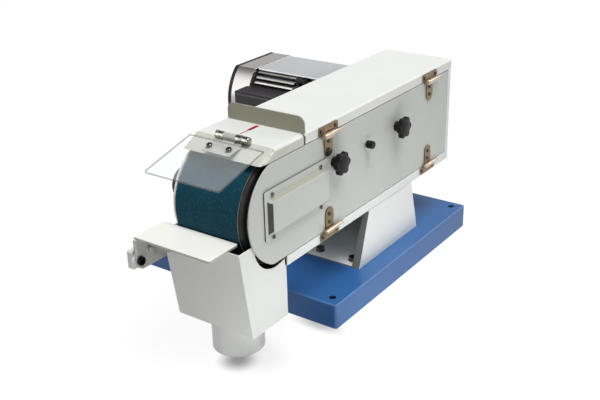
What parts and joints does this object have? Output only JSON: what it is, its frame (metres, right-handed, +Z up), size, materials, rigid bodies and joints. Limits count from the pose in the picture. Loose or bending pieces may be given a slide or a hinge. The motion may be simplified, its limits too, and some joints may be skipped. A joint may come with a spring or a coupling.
{
  "type": "bench belt grinder",
  "caption": "Bench belt grinder: a wide abrasive belt over a rubber contact wheel in a hinged housing on a pedestal, with motor, work table, eye shield and dust chute.",
  "frame": {"origin": "centre of the base tray's rim, on the plane that the machine stands on", "axes": "+Z up, -Y towards the operator and the contact wheel, +X towards the hinged door, so the motor is at -X"},
  "size_m": [0.555, 0.885, 0.463],
  "materials": {
    "blue_paint": "satin powder coat",
    "white_paint": "satin powder coat",
    "motor_grey": "painted casting",
    "cowl_grey": "satin paint",
    "black_plastic": "moulded",
    "black_steel": "blackened",
    "lid_aluminium": "brushed",
    "wheel_aluminium": "turned",
    "bright_steel": "turned",
    "hinge_steel": "nickel plated",
    "chrome": "polished",
    "tyre_rubber": "moulded",
    "belt_cloth": "abrasive grain on cloth",
    "clear_sheet": "clear sheet",
    "green_plastic": "moulded",
    "red_plastic": "moulded"
  },
  "bodies": {
    "frame": {"base_tray": "blue_paint", "pedestal": "white_paint", "pedestal_top": "white_paint", "pedestal_bolts": "bright_steel", "side_plate": "white_paint", "housing_floor": "white_paint", "housing_rear": "white_paint", "top_cover": "white_paint", "front_hood": "white_paint", "deflector_plate": "white_paint", "dust_chute": "white_paint", "dust_spout": "white_paint", "spindle_housing": "black_steel", "spindle_bearings": "bright_steel", "motor_frame": "motor_grey", "motor_flange": "motor_grey", "flange_bolts": "bright_steel", "motor_cowl": "cowl_grey", "cowl_grille": "black_plastic", "terminal_lid": "lid_aluminium", "cable_gland": "black_plastic", "switch_box": "black_plastic", "latch_posts": "bright_steel", "hinge_leaves": "hinge_steel", "leaf_screws": "bright_steel", "arm_bracket": "white_paint", "sanding_belt": "belt_cloth", "tension_bracket": "bright_steel", "tension_spring": "bright_steel", "shield_lugs": "chrome", "shield_bolt": "chrome"},
    "door": {"door_panel": "white_paint", "door_cover": "white_paint", "door_screws": "bright_steel", "door_lock_screw": "black_steel", "hinge_straps": "hinge_steel"},
    "front_knob": {"front_knob": "black_plastic"},
    "rear_knob": {"rear_knob": "black_plastic"},
    "arm_knob": {"arm_knob": "black_plastic"},
    "lower_front_pin": {"lower_front_pin": "bright_steel"},
    "lower_rear_pin": {"lower_rear_pin": "bright_steel"},
    "upper_front_pin": {"upper_front_pin": "bright_steel"},
    "upper_rear_pin": {"upper_rear_pin": "bright_steel"},
    "contact_wheel": {"wheel_hub": "wheel_aluminium", "wheel_tyre": "tyre_rubber", "wheel_spindle": "bright_steel", "spindle_nut": "bright_steel"},
    "drive": {"drive_wheel": "wheel_aluminium", "motor_shaft": "bright_steel", "motor_fan": "black_plastic"},
    "tension_arm": {"tension_arm": "bright_steel"},
    "tracking_roller": {"tracking_roller": "wheel_aluminium"},
    "shield": {"eye_shield": "clear_sheet", "shield_leaf": "bright_steel", "shield_screws": "bright_steel"},
    "table_arm": {"table_arm": "white_paint", "table_bolt": "black_steel"},
    "table": {"work_table": "white_paint"},
    "start_button": {"start_button": "green_plastic"},
    "stop_button": {"stop_button": "red_plastic"}
  },
  "joints": [
    {"name": "door_swing", "type": "hinge", "parent": "frame", "child": "door", "pos_m": [0.2335, 0, 0.2005], "axis": [0, 1, 0], "range_deg": [0, 105]},
    {"name": "front_knob_turn", "type": "hinge", "parent": "door", "child": "front_knob", "pos_m": [0.2275, -0.227, 0.34], "axis": [1, 0, 0], "continuous": true},
    {"name": "rear_knob_turn", "type": "hinge", "parent": "door", "child": "rear_knob", "pos_m": [0.2275, 0.022, 0.34], "axis": [1, 0, 0], "continuous": true},
    {"name": "arm_knob_turn", "type": "hinge", "parent": "frame", "child": "arm_knob", "pos_m": [-0.0015, -0.376, 0.2155], "axis": [1, 0, 0], "continuous": true},
    {"name": "lower_front_pin_pull", "type": "slide", "parent": "frame", "child": "lower_front_pin", "axis": [0, 1, 0], "range_m": [0, 0.036]},
    {"name": "lower_rear_pin_pull", "type": "slide", "parent": "frame", "child": "lower_rear_pin", "axis": [0, 1, 0], "range_m": [0, 0.036]},
    {"name": "upper_front_pin_pull", "type": "slide", "parent": "frame", "child": "upper_front_pin", "axis": [0, 1, 0], "range_m": [0, 0.036]},
    {"name": "upper_rear_pin_pull", "type": "slide", "parent": "frame", "child": "upper_rear_pin", "axis": [0, 1, 0], "range_m": [0, 0.036]},
    {"name": "contact_spin", "type": "hinge", "parent": "frame", "child": "contact_wheel", "pos_m": [0, -0.393, 0.299], "axis": [1, 0, 0], "continuous": true},
    {"name": "drive_spin", "type": "hinge", "parent": "frame", "child": "drive", "pos_m": [0, 0.168, 0.302], "axis": [1, 0, 0], "continuous": true},
    {"name": "tension_release", "type": "hinge", "parent": "frame", "child": "tension_arm", "pos_m": [0, -0.02, 0.3], "axis": [1, 0, 0], "range_deg": [0, 12], "stiffness_Nm_per_rad": 20, "springref_deg": -20.05, "deforming": ["tension_spring"]},
    {"name": "roller_spin", "type": "hinge", "parent": "tension_arm", "child": "tracking_roller", "pos_m": [0, -0.11, 0.37596], "axis": [1, 0, 0], "continuous": true},
    {"name": "shield_tilt", "type": "hinge", "parent": "frame", "child": "shield", "pos_m": [0, -0.425, 0.4355], "axis": [-1, 0, 0], "range_deg": [0, 110]},
    {"name": "table_reach", "type": "slide", "parent": "frame", "child": "table_arm", "axis": [0, -1, 0], "range_m": [0, 0.025]},
    {"name": "table_tilt", "type": "hinge", "parent": "table_arm", "child": "table", "pos_m": [0, -0.578, 0.2145], "axis": [1, 0, 0], "range_deg": [0, 15]},
    {"name": "start_press", "type": "slide", "parent": "frame", "child": "start_button", "axis": [0, 1, 0], "range_m": [0, 0.003], "stiffness_N_per_m": 300, "springref_m": -0.002},
    {"name": "stop_press", "type": "slide", "parent": "frame", "child": "stop_button", "axis": [0, 1, 0], "range_m": [0, 0.003], "stiffness_N_per_m": 300, "springref_m": -0.002}
  ],
  "couplings": [
    {"joint": "drive_spin", "follows": "contact_spin", "ratio": 1.1807},
    {"joint": "roller_spin", "follows": "contact_spin", "ratio": 4.0996}
  ]
}
